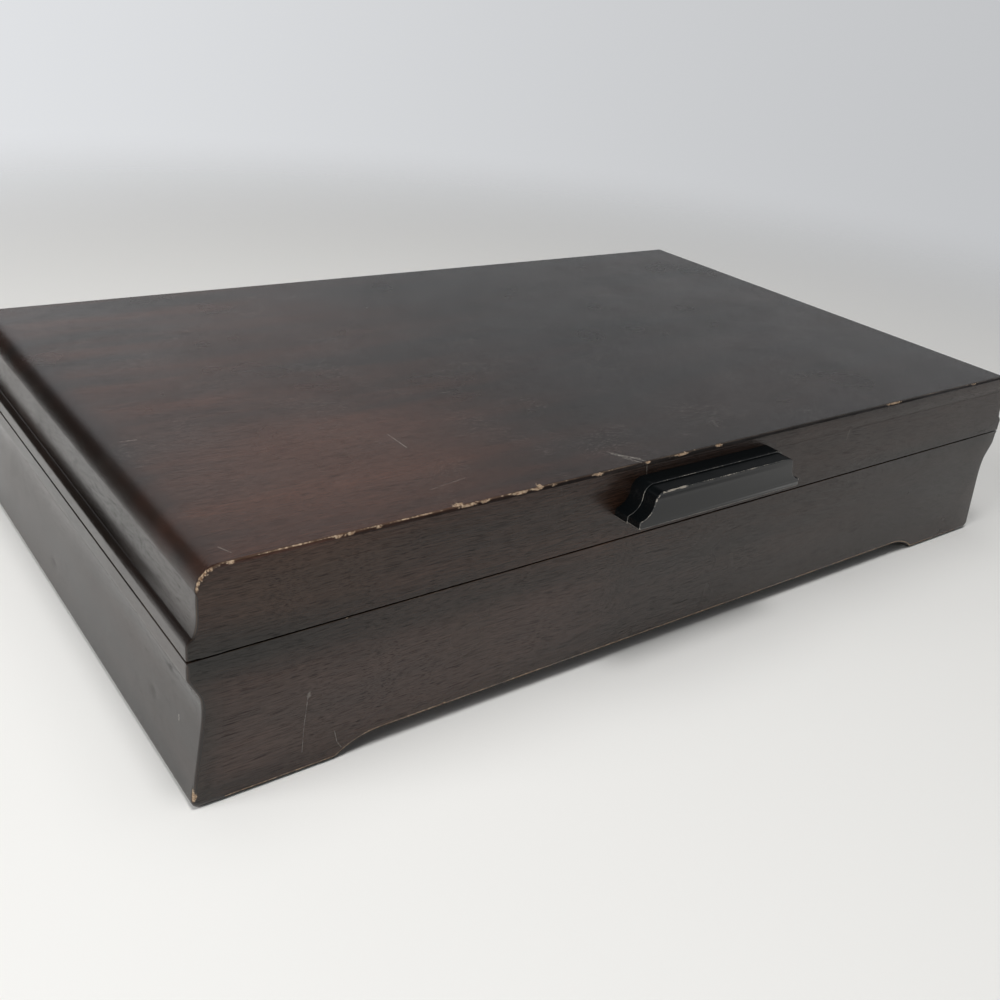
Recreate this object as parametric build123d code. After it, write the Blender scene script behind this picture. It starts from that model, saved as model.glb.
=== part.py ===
from build123d import *
from math import cos, radians
import os

os.makedirs("parts", exist_ok=True)

# Silverware chest. Two boxes of boards, base and lid, meet at a parting line and turn on
# a pair of brass stop hinges. The ends are moulded, the front and back are flat with an
# arch cut out of the bottom edge, and flannel covered racks hold the silverware inside.
# Millimetres, +X to the right, +Y to the back, +Z up, with the table at Z = 0 and the
# origin in the middle of the whole chest, its pull and hinges included.

# Carcase
chest_width = 433.0         # over the lips where lid and base meet
chest_depth = 251.0         # front face to back face
chest_height = 88.0
parting_height = 57.2       # middle of the gap between base and lid
parting_gap = 0.5
end_stock = 11.0            # moulded end boards, measured at the lip
board = 10.0                # front and back boards
tongue_length = 2.5         # front and back boards are tongued into the ends
tongue = 4.0
joint_play = 0.1            # tongues and panels in their grooves
bottom_panel = 4.0
bottom_panel_rise = 9.5     # underside of the bottom panel above the table
panel_groove = 3.0

# Moulding of the base ends, as insets from the lip and heights
base_lip = 6.9              # straight band under the parting line, to its sharp corner
base_round = 3.5            # radius that softens that corner
ogee_in = 3.2               # end of the straight slope
ogee_drop = 13.2            # below the parting line
waist_in = 4.4              # narrowest place of the base
waist_drop = 19.4
flare_in = 3.5              # where the flare to the foot runs straight
flare_height = 27.5
foot_in = 0.2
foot_corner = 3.0
foot_round = 2.0            # round along the lower front edge

# Moulding of the lid ends
lid_bead = 4.6              # straight part of the bead above the parting line
bead_round_in = 2.1
bead_round_rise = 2.9
wall_in = 3.5               # inset of the upright wall of the lid
cove_rise = 7.1
lid_top = 8.0               # top board, its ends are a full quarter round
top_arris = 1.2             # round along the front and back of the top

# Arch in the front and back boards
arch_from_lip = 50.8
arch_height = 5.9
arch_run = 17.5             # length of the curve at each end of the arch
arch_mid = (5.6, 3.3)       # a point on that curve, from its foot

# Pull
pull_shift = -5.3           # middle of the pull, left of the middle of the chest
pull_drop = 5.2             # top of the chest to the top of the pull
pull_half_width = 45.1
pull_height = 14.5
pull_back_depth = 7.0
pull_front_depth = 6.2
pull_step = 0.6             # the front half is this much smaller
pull_foot = 3.3             # upright part of each end
pull_cove_in = 6.2
pull_cove_top = 10.0
pull_arris = 0.5
pull_screw_apart = 44.0
pull_screw_rise = 5.8       # above the bottom of the pull
pull_screw_bite = 8.0

# Hinges
hinge_from_lip = 86.0       # lip to the middle of a hinge
hinge_length = 38.0
leaf_thickness = 1.2
hinge_seat = 7.5            # depth of the leaf in the board
pin_radius = 1.2
pin_play = 0.05
pin_head_radius = 1.9
pin_head_flat = 1.1         # radius of the flat on the head
pin_head = 0.7
knuckle_radius = 2.5
knuckle_play = 0.2
lid_knuckle = 12.4
hinge_standoff = 0.1        # knuckle clear of the back face
stop_radius = 5.2           # the stop lips reach this far from the pin
stop_thickness = 1.2
open_angle = 100.0
stop_play = 0.1             # degrees left on each lip at the open position

# Screws: radius of head and shank, whole length
hinge_screw_head = 2.0
hinge_screw_shank = 1.1
hinge_screw_length = 9.0
hinge_screw_pitch = 13.0
pull_screw_head = 3.0
pull_screw_shank = 1.6
screw_slot_share = 0.28     # slot width as a share of the head radius
screw_point_share = 1.5     # length of the point as a share of the shank radius

# Lining
wall_lining = 1.2
floor_lining = 1.5
lining_reveal = 3.0         # bare wood above the lining at the parting line

# Racks in the base
serving_bay = 100.0
divider = 4.0
divider_height = 34.0
rack = 10.0
rack_height = 30.0
rack_shoulder = 5.0
rack_notches = 6
front_rack_in = 52.0        # front lining to the rack
front_notch = 28.0
front_notch_depth = 21.0
rear_rack_in = 150.0
rear_notch = 18.0
rear_notch_depth = 17.0

# Racks in the lid
knife_rack_in = 104.0
knife_rack = 14.0
knife_rack_drop = 17.0
tip_rack_in = 184.0
tip_rack = 10.0
tip_rack_drop = 13.0
knife_slots = 12
knife_pitch = 24.0
knife_margin = 8.0
knife_slot = 3.4
knife_slot_depth = 12.0
tip_slot_depth = 9.0
slot_mouth = 2.2            # rounded mouth of each slot

# Places worked out from the sizes above
lip_x = chest_width / 2
inner_x = lip_x - end_stock
base_top = parting_height - parting_gap / 2
lid_bottom = parting_height + parting_gap / 2
top_underside = chest_height - lid_top
pull_depth = pull_back_depth + pull_front_depth
hinge_out = knuckle_radius + hinge_standoff
lip_angle = open_angle / 2 + stop_play
hinge_reach = hinge_out + max(knuckle_radius, stop_radius * cos(radians(lip_angle)))
front_y = (pull_depth - chest_depth - hinge_reach) / 2
back_y = front_y + chest_depth
inner_front = front_y + board
inner_back = back_y - board
hinge_y = back_y + hinge_out
hinge_x = lip_x - hinge_from_lip
panel_top = bottom_panel_rise + bottom_panel
floor_top = panel_top + floor_lining
lid_lining_z = top_underside - wall_lining
lined_x = inner_x - wall_lining
lined_front = inner_front + wall_lining
lined_back = inner_back - wall_lining
divider_right = lined_x - serving_bay
divider_left = divider_right - divider


def block(x, y, z):
    """A box between two limits on each axis."""
    size = [b - a for a, b in (x, y, z)]
    middle = [(a + b) / 2 for a, b in (x, y, z)]
    return Pos(*middle) * Box(*size)


def along_y(face, y_low, y_high):
    """Carries a face drawn in X and Z from one depth to another."""
    return extrude(Plane.XZ.offset(-y_high) * face, y_high - y_low)


def mirrored(shape):
    """The same piece for the other end of the chest."""
    return mirror(shape, Plane.YZ)


def screw(length, head, shank):
    """Slotted countersunk screw, head up at Z = 0, with a pointed shank."""
    neck = head - shank
    with BuildPart() as body:
        with BuildSketch(Plane.XZ):
            Polygon((0, 0), (head, 0), (shank, -neck),
                    (shank, shank * screw_point_share - length), (0, -length), align=None)
        revolve(axis=Axis.Z)
    slot = head * screw_slot_share
    slot_depth = neck / 2
    cut = block((-head, head), (-slot / 2, slot / 2), (-slot_depth, neck))
    return body.part, body.part - cut


def base_end_face():
    """Section of the right base end: straight lip, ogee, waist and flared foot."""
    with BuildSketch() as face:
        with BuildLine():
            l1 = Line((inner_x, 0), (inner_x, base_top))
            l2 = Line(l1 @ 1, (lip_x, base_top))
            slope_end = (lip_x - ogee_in, parting_height - ogee_drop)
            side = FilletPolyline(l2 @ 1, (lip_x, base_top - base_lip), slope_end,
                                  radius=base_round)
            waist = (lip_x - waist_in, parting_height - waist_drop)
            flare = (lip_x - flare_in, flare_height)
            foot = (lip_x - foot_in, foot_corner)
            Spline(side @ 1, waist, flare, tangents=[side % 1, Vector(*foot) - Vector(*flare)])
            l3 = Line(flare, foot)
            a1 = TangentArc(l3 @ 1, (lip_x - foot_in - foot_corner, 0), tangent=l3 % 1)
            Line(a1 @ 1, l1 @ 0)
        make_face()
    return face.sketch


def lid_end_face():
    """Section of the right lid end: bead at the parting line, cove, upright wall."""
    wall = lip_x - wall_in
    cove_foot = (lip_x - bead_round_in, lid_bottom + lid_bead + bead_round_rise)
    cove_top = (wall, cove_foot[1] + cove_rise)
    with BuildSketch() as face:
        with BuildLine():
            l1 = Line((inner_x, lid_bottom), (lip_x, lid_bottom))
            l2 = Line(l1 @ 1, (lip_x, lid_bottom + lid_bead))
            TangentArc(l2 @ 1, cove_foot, tangent=(0, 1))
            TangentArc(cove_top, cove_foot, tangent=(0, -1))
            l3 = Line(cove_top, (wall, top_underside))
            l4 = Line(l3 @ 1, (inner_x, top_underside))
            Line(l4 @ 1, l1 @ 0)
        make_face()
    return face.sketch


def arch_face():
    """Opening under the front and back boards: flat, with a curve down to each foot."""
    foot = lip_x - arch_from_lip
    middle = (foot - arch_mid[0], arch_mid[1])
    with BuildSketch() as face:
        with BuildLine():
            right = ThreePointArc((foot, 0), middle, (foot - arch_run, arch_height))
            top = Line(right @ 1, (arch_run - foot, arch_height))
            left = ThreePointArc(top @ 1, (-middle[0], middle[1]), (-foot, 0))
            Line(left @ 1, (foot, 0))
        make_face()
    return face.sketch


def pull_face(inset):
    """Outline of the pull: flat foot, upright end, cove, round shoulder, flat top."""
    end = pull_half_width - inset
    neck = end - pull_cove_in
    top = pull_height - inset
    shoulder = top - pull_cove_top
    with BuildSketch() as face:
        with BuildLine():
            l1 = Line((0, 0), (end, 0))
            l2 = Line(l1 @ 1, (end, pull_foot))
            TangentArc((neck, pull_cove_top), l2 @ 1, tangent=(0, -1))
            a1 = TangentArc((neck, pull_cove_top), (neck - shoulder, top), tangent=(0, 1))
            l3 = Line(a1 @ 1, (0, top))
            Line(l3 @ 1, l1 @ 0)
        make_face()
        mirror(about=Plane.YZ)
    return face.sketch


def notched_face(start, end, centres, gap, depth, shoulder, height):
    """A bar seen from the front, with a round bottomed notch at each centre."""
    half = gap / 2
    bend = height - depth + half
    with BuildSketch() as face:
        with BuildLine():
            last = Line((start, 0), (start, height)) @ 1
            for centre in centres:
                edge = Line(last, (centre - half - shoulder, height)) @ 1
                lip = TangentArc(edge, (centre - half, height - shoulder), tangent=(1, 0)) @ 1
                low = Line(lip, (centre - half, bend)) @ 1
                rise = TangentArc(low, (centre + half, bend), tangent=(0, -1)) @ 1
                high = Line(rise, (centre + half, height - shoulder)) @ 1
                last = TangentArc(high, (centre + half + shoulder, height),
                                  tangent=(0, 1)) @ 1
            corner = Line(last, (end, height)) @ 1
            foot = Line(corner, (end, 0)) @ 1
            Line(foot, (start, 0))
        make_face()
    return face.sketch


def hinge_leaf(own, other):
    """Upper leaf of a closed hinge with its pin on the X axis: plate, knuckles, stop lip."""
    half = hinge_length / 2
    web_start = knuckle_radius / 2
    plate = block((-half, half), (-hinge_out - hinge_seat, 0),
                  (parting_gap / 2, parting_gap / 2 + leaf_thickness))
    lip = block((-half, half), (knuckle_radius + knuckle_play, stop_radius),
                (0, stop_thickness))
    leaf = plate + Rot(X=lip_angle) * lip
    for low, high in own:
        middle = Pos((low + high) / 2, 0, 0)
        knuckle = middle * Rot(Y=90) * Cylinder(knuckle_radius, high - low)
        web = block((low, high), (web_start, stop_radius), (0, stop_thickness))
        leaf = leaf + knuckle + Rot(X=lip_angle) * web
    for low, high in other:
        space = Rot(Y=90) * Cylinder(knuckle_radius + knuckle_play,
                                     high - low + 2 * knuckle_play)
        leaf = leaf - Pos((low + high) / 2, 0, 0) * space
    return leaf - Rot(Y=90) * Cylinder(pin_radius + pin_play, hinge_length)


def hinge_pin():
    """Straight pin with a low head at each end, lying along X."""
    with BuildPart() as pin:
        half = hinge_length / 2
        with BuildSketch(Plane.XY):
            Polygon((-half - pin_head, 0), (-half - pin_head, pin_head_flat),
                    (-half, pin_head_radius), (-half, pin_radius), (half, pin_radius),
                    (half, pin_head_radius), (half + pin_head, pin_head_flat),
                    (half + pin_head, 0), align=None)
        revolve(axis=Axis.X)
    return pin.part


parts = {}

# Hinges and their screws first, because the boards are cut to take them
lid_span = [(-lid_knuckle / 2, lid_knuckle / 2)]
base_span_start = lid_knuckle / 2 + knuckle_play
base_spans = [(-hinge_length / 2, -base_span_start), (base_span_start, hinge_length / 2)]
leaf_screw_solid, leaf_screw = screw(hinge_screw_length, hinge_screw_head, hinge_screw_shank)
lid_leaf = hinge_leaf(lid_span, base_spans)
base_leaf = mirror(hinge_leaf(base_spans, lid_span), Plane.XY)
screw_y = -hinge_out - hinge_seat / 2
base_screws = []
lid_screws = []
base_screw_solids = []
lid_screw_solids = []
base_mortises = []
lid_mortises = []
for name, x in (("left", -hinge_x), ("right", hinge_x)):
    axis = Pos(x, hinge_y, parting_height)
    base_holes = []
    lid_holes = []
    for step in (-1, 0, 1):
        seat = Pos(step * hinge_screw_pitch, screw_y, -parting_gap / 2)
        turned = Pos(step * hinge_screw_pitch, screw_y, parting_gap / 2) * Rot(X=180)
        base_holes.append(axis * seat * leaf_screw_solid)
        lid_holes.append(axis * turned * leaf_screw_solid)
        base_screws.append(axis * seat * leaf_screw)
        lid_screws.append(axis * turned * leaf_screw)
    parts[f"{name}_hinge_base_leaf"] = axis * base_leaf - base_holes
    parts[f"{name}_hinge_lid_leaf"] = axis * lid_leaf - lid_holes
    parts[f"{name}_hinge_pin"] = axis * hinge_pin()
    base_screw_solids += base_holes
    lid_screw_solids += lid_holes
    span = (x - hinge_length / 2, x + hinge_length / 2)
    seat_y = (back_y - hinge_seat, back_y + leaf_thickness)
    base_mortises.append(block(span, seat_y, (base_top - leaf_thickness, base_top)))
    lid_mortises.append(block(span, seat_y, (lid_bottom, lid_bottom + leaf_thickness)))
parts["base_hinge_screws"] = Compound(children=base_screws)
parts["lid_hinge_screws"] = Compound(children=lid_screws)

# Base boards
groove_x = inner_x + panel_groove
panel_slot = block((-groove_x, groove_x),
                   (inner_front - panel_groove, inner_back + panel_groove),
                   (bottom_panel_rise, panel_top))
arch = arch_face()
tongue_x = inner_x + tongue_length
base_front = block((-inner_x, inner_x), (front_y, inner_front), (0, base_top))
base_front += block((-tongue_x, tongue_x), (inner_front - tongue, inner_front), (0, base_top))
base_back = block((-inner_x, inner_x), (inner_back, back_y), (0, base_top))
base_back += block((-tongue_x, tongue_x), (inner_back, inner_back + tongue), (0, base_top))
base_front = base_front - panel_slot - along_y(arch, front_y, inner_front)
low_edges = base_front.edges().filter_by_position(Axis.Y, front_y, front_y)
low_edges = low_edges.filter_by_position(Axis.Z, 0, arch_height)
parts["base_front_board"] = fillet(low_edges, foot_round)
base_back = base_back - panel_slot - along_y(arch, inner_back, back_y)
parts["base_back_board"] = base_back - base_mortises - base_screw_solids


def tongue_grooves(z_low, z_high):
    """The two upright grooves in a right end board that take the tongues."""
    groove = tongue_x + joint_play
    front = block((inner_x, groove), (inner_front - tongue, inner_front), (z_low, z_high))
    back = block((inner_x, groove), (inner_back, inner_back + tongue), (z_low, z_high))
    return front + back


base_end = along_y(base_end_face(), front_y, back_y)
round_axis = Pos(lip_x, front_y + foot_round, foot_round) * Rot(Y=90)
round_waste = block((inner_x, lip_x + foot_round), (front_y, front_y + foot_round), (0, foot_round))
round_waste = round_waste - round_axis * Cylinder(foot_round, 2 * lip_x)
base_end = base_end - tongue_grooves(0, base_top) - panel_slot - round_waste
parts["base_right_end"] = base_end
parts["base_left_end"] = mirrored(base_end)
panel_x = groove_x - joint_play
parts["bottom_panel"] = block((-panel_x, panel_x),
                              (inner_front - panel_groove + joint_play,
                               inner_back + panel_groove - joint_play),
                              (bottom_panel_rise, panel_top))

# Lid boards
lid_front = block((-inner_x, inner_x), (front_y, inner_front), (lid_bottom, top_underside))
lid_front += block((-tongue_x, tongue_x), (inner_front - tongue, inner_front),
                   (lid_bottom, top_underside))
lid_back = block((-inner_x, inner_x), (inner_back, back_y), (lid_bottom, top_underside))
lid_back += block((-tongue_x, tongue_x), (inner_back, inner_back + tongue),
                  (lid_bottom, top_underside))
parts["lid_back_board"] = lid_back - lid_mortises - lid_screw_solids
lid_end = along_y(lid_end_face(), front_y, back_y)
lid_end = lid_end - tongue_grooves(lid_bottom, top_underside)
parts["lid_right_end"] = lid_end
parts["lid_left_end"] = mirrored(lid_end)

wall_x = lip_x - wall_in
with BuildSketch() as top_face:
    with BuildLine():
        t1 = Line((-wall_x, top_underside), (wall_x, top_underside))
        t2 = TangentArc(t1 @ 1, (wall_x - lid_top, chest_height), tangent=(0, 1))
        t3 = Line(t2 @ 1, (lid_top - wall_x, chest_height))
        TangentArc(t1 @ 0, t3 @ 1, tangent=(0, 1))
    make_face()
lid_board = along_y(top_face.sketch, front_y, back_y)
arrises = lid_board.edges().filter_by(Axis.X).group_by(Axis.Z)[-1]
parts["lid_top_board"] = fillet(arrises, top_arris)

# Pull on the front of the lid, screwed from inside
pull_z = chest_height - pull_drop - pull_height
pull_place = Pos(pull_shift, pull_z)
pull_front = along_y(pull_place * pull_face(pull_step), front_y - pull_depth,
                     front_y - pull_back_depth)
pull_front = chamfer(pull_front.faces().sort_by(Axis.Y)[0].edges(), pull_arris)
pull = along_y(pull_place * pull_face(0), front_y - pull_back_depth, front_y) + pull_front
pull_screw_length = board + pull_screw_bite
pull_screw_solid, pull_screw = screw(pull_screw_length, pull_screw_head, pull_screw_shank)
pull_holes = []
pull_screws = []
for side in (-0.5, 0.5):
    place = Pos(pull_shift + side * pull_screw_apart, inner_front, pull_z + pull_screw_rise)
    turn = place * Rot(X=-90)
    pull_holes.append(turn * pull_screw_solid)
    pull_screws.append(turn * pull_screw)
parts["lid_pull"] = pull - pull_holes
parts["pull_screws"] = Compound(children=pull_screws)
parts["lid_front_board"] = lid_front - pull_holes

# Linings: flannel over card, the long ones between the ends, the short ones between them
parts["base_floor_lining"] = block((-inner_x, inner_x), (inner_front, inner_back),
                                   (panel_top, floor_top))
parts["lid_top_lining"] = block((-inner_x, inner_x), (inner_front, inner_back),
                                (lid_lining_z, top_underside))
lining_heights = {"base": (floor_top, base_top - lining_reveal),
                  "lid": (lid_bottom + lining_reveal, lid_lining_z)}
for body, z in lining_heights.items():
    parts[f"{body}_front_lining"] = block((-inner_x, inner_x), (inner_front, lined_front), z)
    parts[f"{body}_back_lining"] = block((-inner_x, inner_x), (lined_back, inner_back), z)
    right = block((lined_x, inner_x), (lined_front, lined_back), z)
    parts[f"{body}_right_lining"] = right
    parts[f"{body}_left_lining"] = mirrored(right)

# Racks and divider in the base
parts["serving_divider"] = block((divider_left, divider_right), (lined_front, lined_back),
                                 (floor_top, floor_top + divider_height))
rack_length = divider_left + lined_x
rack_pitch = rack_length / rack_notches
notch_centres = [rack_pitch * (i + 0.5) - lined_x for i in range(rack_notches)]
rack_sizes = {"front_rack": (front_rack_in, front_notch, front_notch_depth),
              "rear_rack": (rear_rack_in, rear_notch, rear_notch_depth)}
for name, (inset, gap, depth) in rack_sizes.items():
    face = notched_face(-lined_x, divider_left, notch_centres, gap, depth, rack_shoulder,
                        rack_height)
    y = lined_front + inset
    parts[name] = along_y(Pos(0, floor_top) * face, y, y + rack)

# Racks in the lid, slots downwards when it is shut
knife_length = knife_slots * knife_pitch + 2 * knife_margin
slot_centres = [knife_pitch * (i - (knife_slots - 1) / 2) for i in range(knife_slots)]
lid_racks = {"knife_rack": (knife_rack_in, knife_rack, knife_rack_drop, knife_slot_depth),
             "tip_rack": (tip_rack_in, tip_rack, tip_rack_drop, tip_slot_depth)}
for name, (inset, thickness, drop, depth) in lid_racks.items():
    face = notched_face(-knife_length / 2, knife_length / 2, slot_centres, knife_slot, depth,
                        slot_mouth, drop)
    y = lined_front + inset
    bar = along_y(mirror(face, Plane.XZ), y, y + thickness)
    parts[name] = Pos(0, 0, lid_lining_z) * bar

for name, shape in parts.items():
    export_step(shape, f"parts/{name}.step")
print(len(parts), "pieces")
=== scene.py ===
import bmesh
import bpy
import numpy as np
from functools import partial
from mathutils import Matrix, Vector
from mathutils.geometry import tessellate_polygon


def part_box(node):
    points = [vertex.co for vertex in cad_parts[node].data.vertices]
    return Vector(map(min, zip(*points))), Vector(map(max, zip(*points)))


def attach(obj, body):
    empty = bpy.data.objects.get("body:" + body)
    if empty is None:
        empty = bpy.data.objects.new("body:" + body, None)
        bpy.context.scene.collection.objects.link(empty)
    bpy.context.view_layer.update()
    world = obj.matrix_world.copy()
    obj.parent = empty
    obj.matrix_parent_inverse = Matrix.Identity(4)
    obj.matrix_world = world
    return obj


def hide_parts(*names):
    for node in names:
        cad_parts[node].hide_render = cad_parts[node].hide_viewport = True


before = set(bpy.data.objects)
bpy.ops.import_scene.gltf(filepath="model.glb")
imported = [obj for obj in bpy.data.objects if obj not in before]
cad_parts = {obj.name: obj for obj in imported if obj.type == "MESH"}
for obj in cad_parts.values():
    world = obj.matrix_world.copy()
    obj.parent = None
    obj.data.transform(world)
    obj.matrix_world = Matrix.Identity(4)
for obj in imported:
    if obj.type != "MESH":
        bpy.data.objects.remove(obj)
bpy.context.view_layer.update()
print("frame loaded:", len(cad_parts), "nodes")

mm = 0.001


def cadBox(node):
    # lowest and highest corner of a CAD node, in millimetres
    low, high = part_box(node)
    return np.array(low) / mm, np.array(high) / mm


# places that several boards share, read from the frame, in millimetres
(_, frontY, _), (_, innerFrontY, baseTop) = cadBox("base_front_board")
(_, _, topUnder), (wallX, _, chestTop) = cadBox("lid_top_board")
backY = cadBox("base_back_board")[1][1]
lidBottom = cadBox("lid_front_board")[0][2]
lipX, innerX = cadBox("base_right_end")[1][0], cadBox("base_front_lining")[1][0]
chestDepth = backY - frontY
partingZ = (baseTop + lidBottom) / 2
alongX = np.array([1, 0, 0])


# Curves of an outline. Each gives rows of (across, up, edge) from its start up to, not with, its
# end. edge is 0 on a face and rises to 1 in the middle of a rounded arris, where the finish wears.

def unit(vector):
    return np.array(vector, float) / np.hypot(*vector)


def straight(start, end, step=2.0, rim=0.3):
    # even steps, with one more point close to each end so that a flat face is shaded flat
    start, end = np.array(start, float), np.array(end, float)
    length = np.hypot(*(end - start))
    share = rim / max(length, 3 * rim)
    count = max(1, round(length / step))
    t = np.concatenate([[0], np.linspace(share, 1 - share, count + 1)])
    return np.column_stack([start + t[:, None] * (end - start), 0 * t])


def arc(start, heading, end, count=10, worn=False):
    # circular arc: after share t of it, the chord has turned by t times the angle between heading
    # and the whole chord, and its length is the whole chord's times sin(t * angle) / sin(angle)
    start, chord = np.array(start, float), np.array(end, float) - np.array(start, float)
    bearing = np.arctan2(heading[1], heading[0])
    angle = (np.arctan2(chord[1], chord[0]) - bearing + np.pi) % (2 * np.pi) - np.pi
    t = np.linspace(0, 1, count, endpoint=False)
    reach = np.hypot(*chord) * np.sin(angle * t) / np.sin(angle)
    turned = bearing + angle * t
    points = start + reach[:, None] * np.column_stack([np.cos(turned), np.sin(turned)])
    return np.column_stack([points, np.sin(np.pi * t) * worn])


def curveThrough(points, headings, count=14):
    # cubic spline through three points: each span is the Hermite cubic of its ends, and the slope
    # in the middle is the one that keeps the curvature continuous there
    p = np.array(points, float)
    first, last = (unit(heading) for heading in headings)
    h0, h1 = np.hypot(*(p[1] - p[0])), np.hypot(*(p[2] - p[1]))
    pulled = 3 * (h1 * (p[1] - p[0]) / h0 + h0 * (p[2] - p[1]) / h1)
    middle = (pulled - h1 * first - h0 * last) / (2 * (h0 + h1))
    t = np.linspace(0, 1, count, endpoint=False)[:, None]
    spans = []
    for a, b, ta, tb, h in ((p[0], p[1], first, middle, h0), (p[1], p[2], middle, last, h1)):
        spans.append((2 * t**3 - 3 * t**2 + 1) * a + (t**3 - 2 * t**2 + t) * h * ta
                     + (3 * t**2 - 2 * t**3) * b + (t**3 - t**2) * h * tb)
    points = np.vstack(spans)
    return np.column_stack([points, np.zeros(len(points))])


def roundedCorner(before, corner, after, radius, count=6, worn=True):
    # quarter of a circle at the corner between two square edges
    corner = np.array(corner, float)
    toBefore, toAfter = unit(before - corner), unit(after - corner)
    return arc(corner + toBefore * radius, -toBefore, corner + toAfter * radius, count, worn)


def roundedBox(low, high, radii, step=2.0, worn=True):
    # closed outline of a rectangle, counterclockwise from its lower left, a radius for each corner
    corners = np.array([(low[0], low[1]), (high[0], low[1]), (high[0], high[1]), (low[0], high[1])])
    pieces = []
    for i, corner in enumerate(corners):
        before, after = corners[i - 1], corners[(i + 1) % 4]
        ahead = unit(after - corner)
        pieces.append(roundedCorner(before, corner, after, radii[i], worn=worn))
        end = after - ahead * radii[(i + 1) % 4]
        pieces.append(straight(corner + ahead * radii[i], end, step))
    return np.vstack(pieces)


def miter(outline):
    # for each point, the way in which an inset of 1 moves it: both edge normals added and scaled so
    # that each edge moves by 1
    p = outline[:, :2]
    after = np.roll(p, -1, 0) - p
    after /= np.maximum(np.hypot(*after.T), 1e-9)[:, None]
    before = np.roll(after, 1, 0)
    normals = [np.column_stack([v[:, 1], -v[:, 0]]) for v in (before, after)]
    scale = 1 + np.sum(normals[0] * normals[1], 1)
    return -(normals[0] + normals[1]) / np.maximum(scale, 0.4)[:, None]


def stationsBetween(start, end, radius, inner, count=7):
    # places along a piece, close together where it is rounded at both ends: r(1 - sin a) from the
    # end face
    near = radius * (1 - np.sin(np.linspace(np.pi / 2, 0, count)))
    return np.concatenate([start + near, inner, end - near[::-1]])


def carried(outline, along, radii, axis="y", farRadii=None, sharp=0.2):
    # the outline at every place along, moved in by a quarter round at both ends. A point with the
    # radius r is moved in by r(1 - sqrt(1 - s^2)) where its distance from the end face is r(1 - s).
    # An arris with a radius under sharp wears less.
    radii = np.broadcast_to(radii, len(outline))
    farRadii = radii if farRadii is None else np.broadcast_to(farRadii, len(outline))
    middle = (along[0] + along[-1]) / 2
    r = np.where(along[:, None] < middle, radii, farRadii)
    fromEnd = np.minimum(along - along[0], along[-1] - along)[:, None]
    s = np.clip(1 - fromEnd / r, 0, 1)
    c = np.sqrt(1 - s * s)
    flat = outline[None, :, :2] + miter(outline)[None] * (r * (1 - c))[..., None]
    run = np.broadcast_to(along[:, None], flat.shape[:2])
    order = (flat[..., 0], run, flat[..., 1]) if axis == "y" else (run, flat[..., 0], flat[..., 1])
    edge = np.maximum(2 * s * c * np.clip(r / sharp, 0, 1), outline[None, :, 2])
    return np.stack(order, -1), edge


def ripple(points, size, seed, octaves=3, waves=5):
    # smooth noise from about -1 to 1: sines in chance directions, each octave half as long and half
    # as high
    chance = np.random.default_rng(seed)
    total = np.zeros(points.shape[:-1])
    for octave in range(octaves):
        ways = chance.normal(size=(waves, 3))
        ways /= np.linalg.norm(ways, axis=1)[:, None]
        phases = chance.uniform(0, 2 * np.pi, waves)
        wave = 2 * np.pi * 2**octave / size
        height = sum(np.sin(points @ (way * wave) + phase) for way, phase in zip(ways, phases))
        total += height / (waves * 0.8 * 2**octave)
    return total


def uneven(points, mean, swing, size, seed, octaves):
    # a share that comes and goes over the piece: its mean, and swing times a ripple of that size
    return mean + swing * ripple(points, size, seed, octaves)


chip = {"ragged": 0.45, "raggedSize": 1.6, "firmness": 1.6, "firstSeed": 40}


def chipped(rings, bare, marks, dirtAndShade=None):
    # each mark is a ragged ellipsoid: its centre, radii, push, and how bare and how dirty it is.
    # Inside it the surface is pushed in by its depth, 1 - (distance / radius) squared, times push
    dirtAndShade = np.zeros(rings.shape[:2]) if dirtAndShade is None else dirtAndShade
    for i, (centre, radii, push, bareShare, grimeShare) in enumerate(marks):
        size = chip["raggedSize"] * min(radii)
        distance = np.linalg.norm((rings - centre) / radii, axis=-1)
        distance = distance * (1 + chip["ragged"] * ripple(rings, size, chip["firstSeed"] + i, 2))
        depth = np.clip(1 - distance**2, 0, 1)
        rings = rings + depth[..., None] * push
        shows = np.clip(depth * chip["firmness"], 0, 1)
        bare, dirtAndShade = np.maximum(bare, shows * bareShare), np.maximum(dirtAndShade, shows * grimeShare)
    return rings, np.stack([bare, dirtAndShade])


def turning(ring, order):
    # twice the signed area of each polygon, in the plane that the ring lies in
    flat = np.ptp(ring, axis=0).argmin()
    across, up = (k for k in range(3) if k != flat)
    x, y = ring[order, across], ring[order, up]
    return np.sum(x * np.roll(y, -1, 1) - np.roll(x, -1, 1) * y, 1)


def linked(name, mesh, body, node):
    # the mesh as a piece that rides on its body and stands for its CAD node
    piece = bpy.data.objects.new(name, mesh)
    bpy.context.scene.collection.objects.link(piece)
    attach(piece, body)
    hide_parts(node)
    return piece


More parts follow.
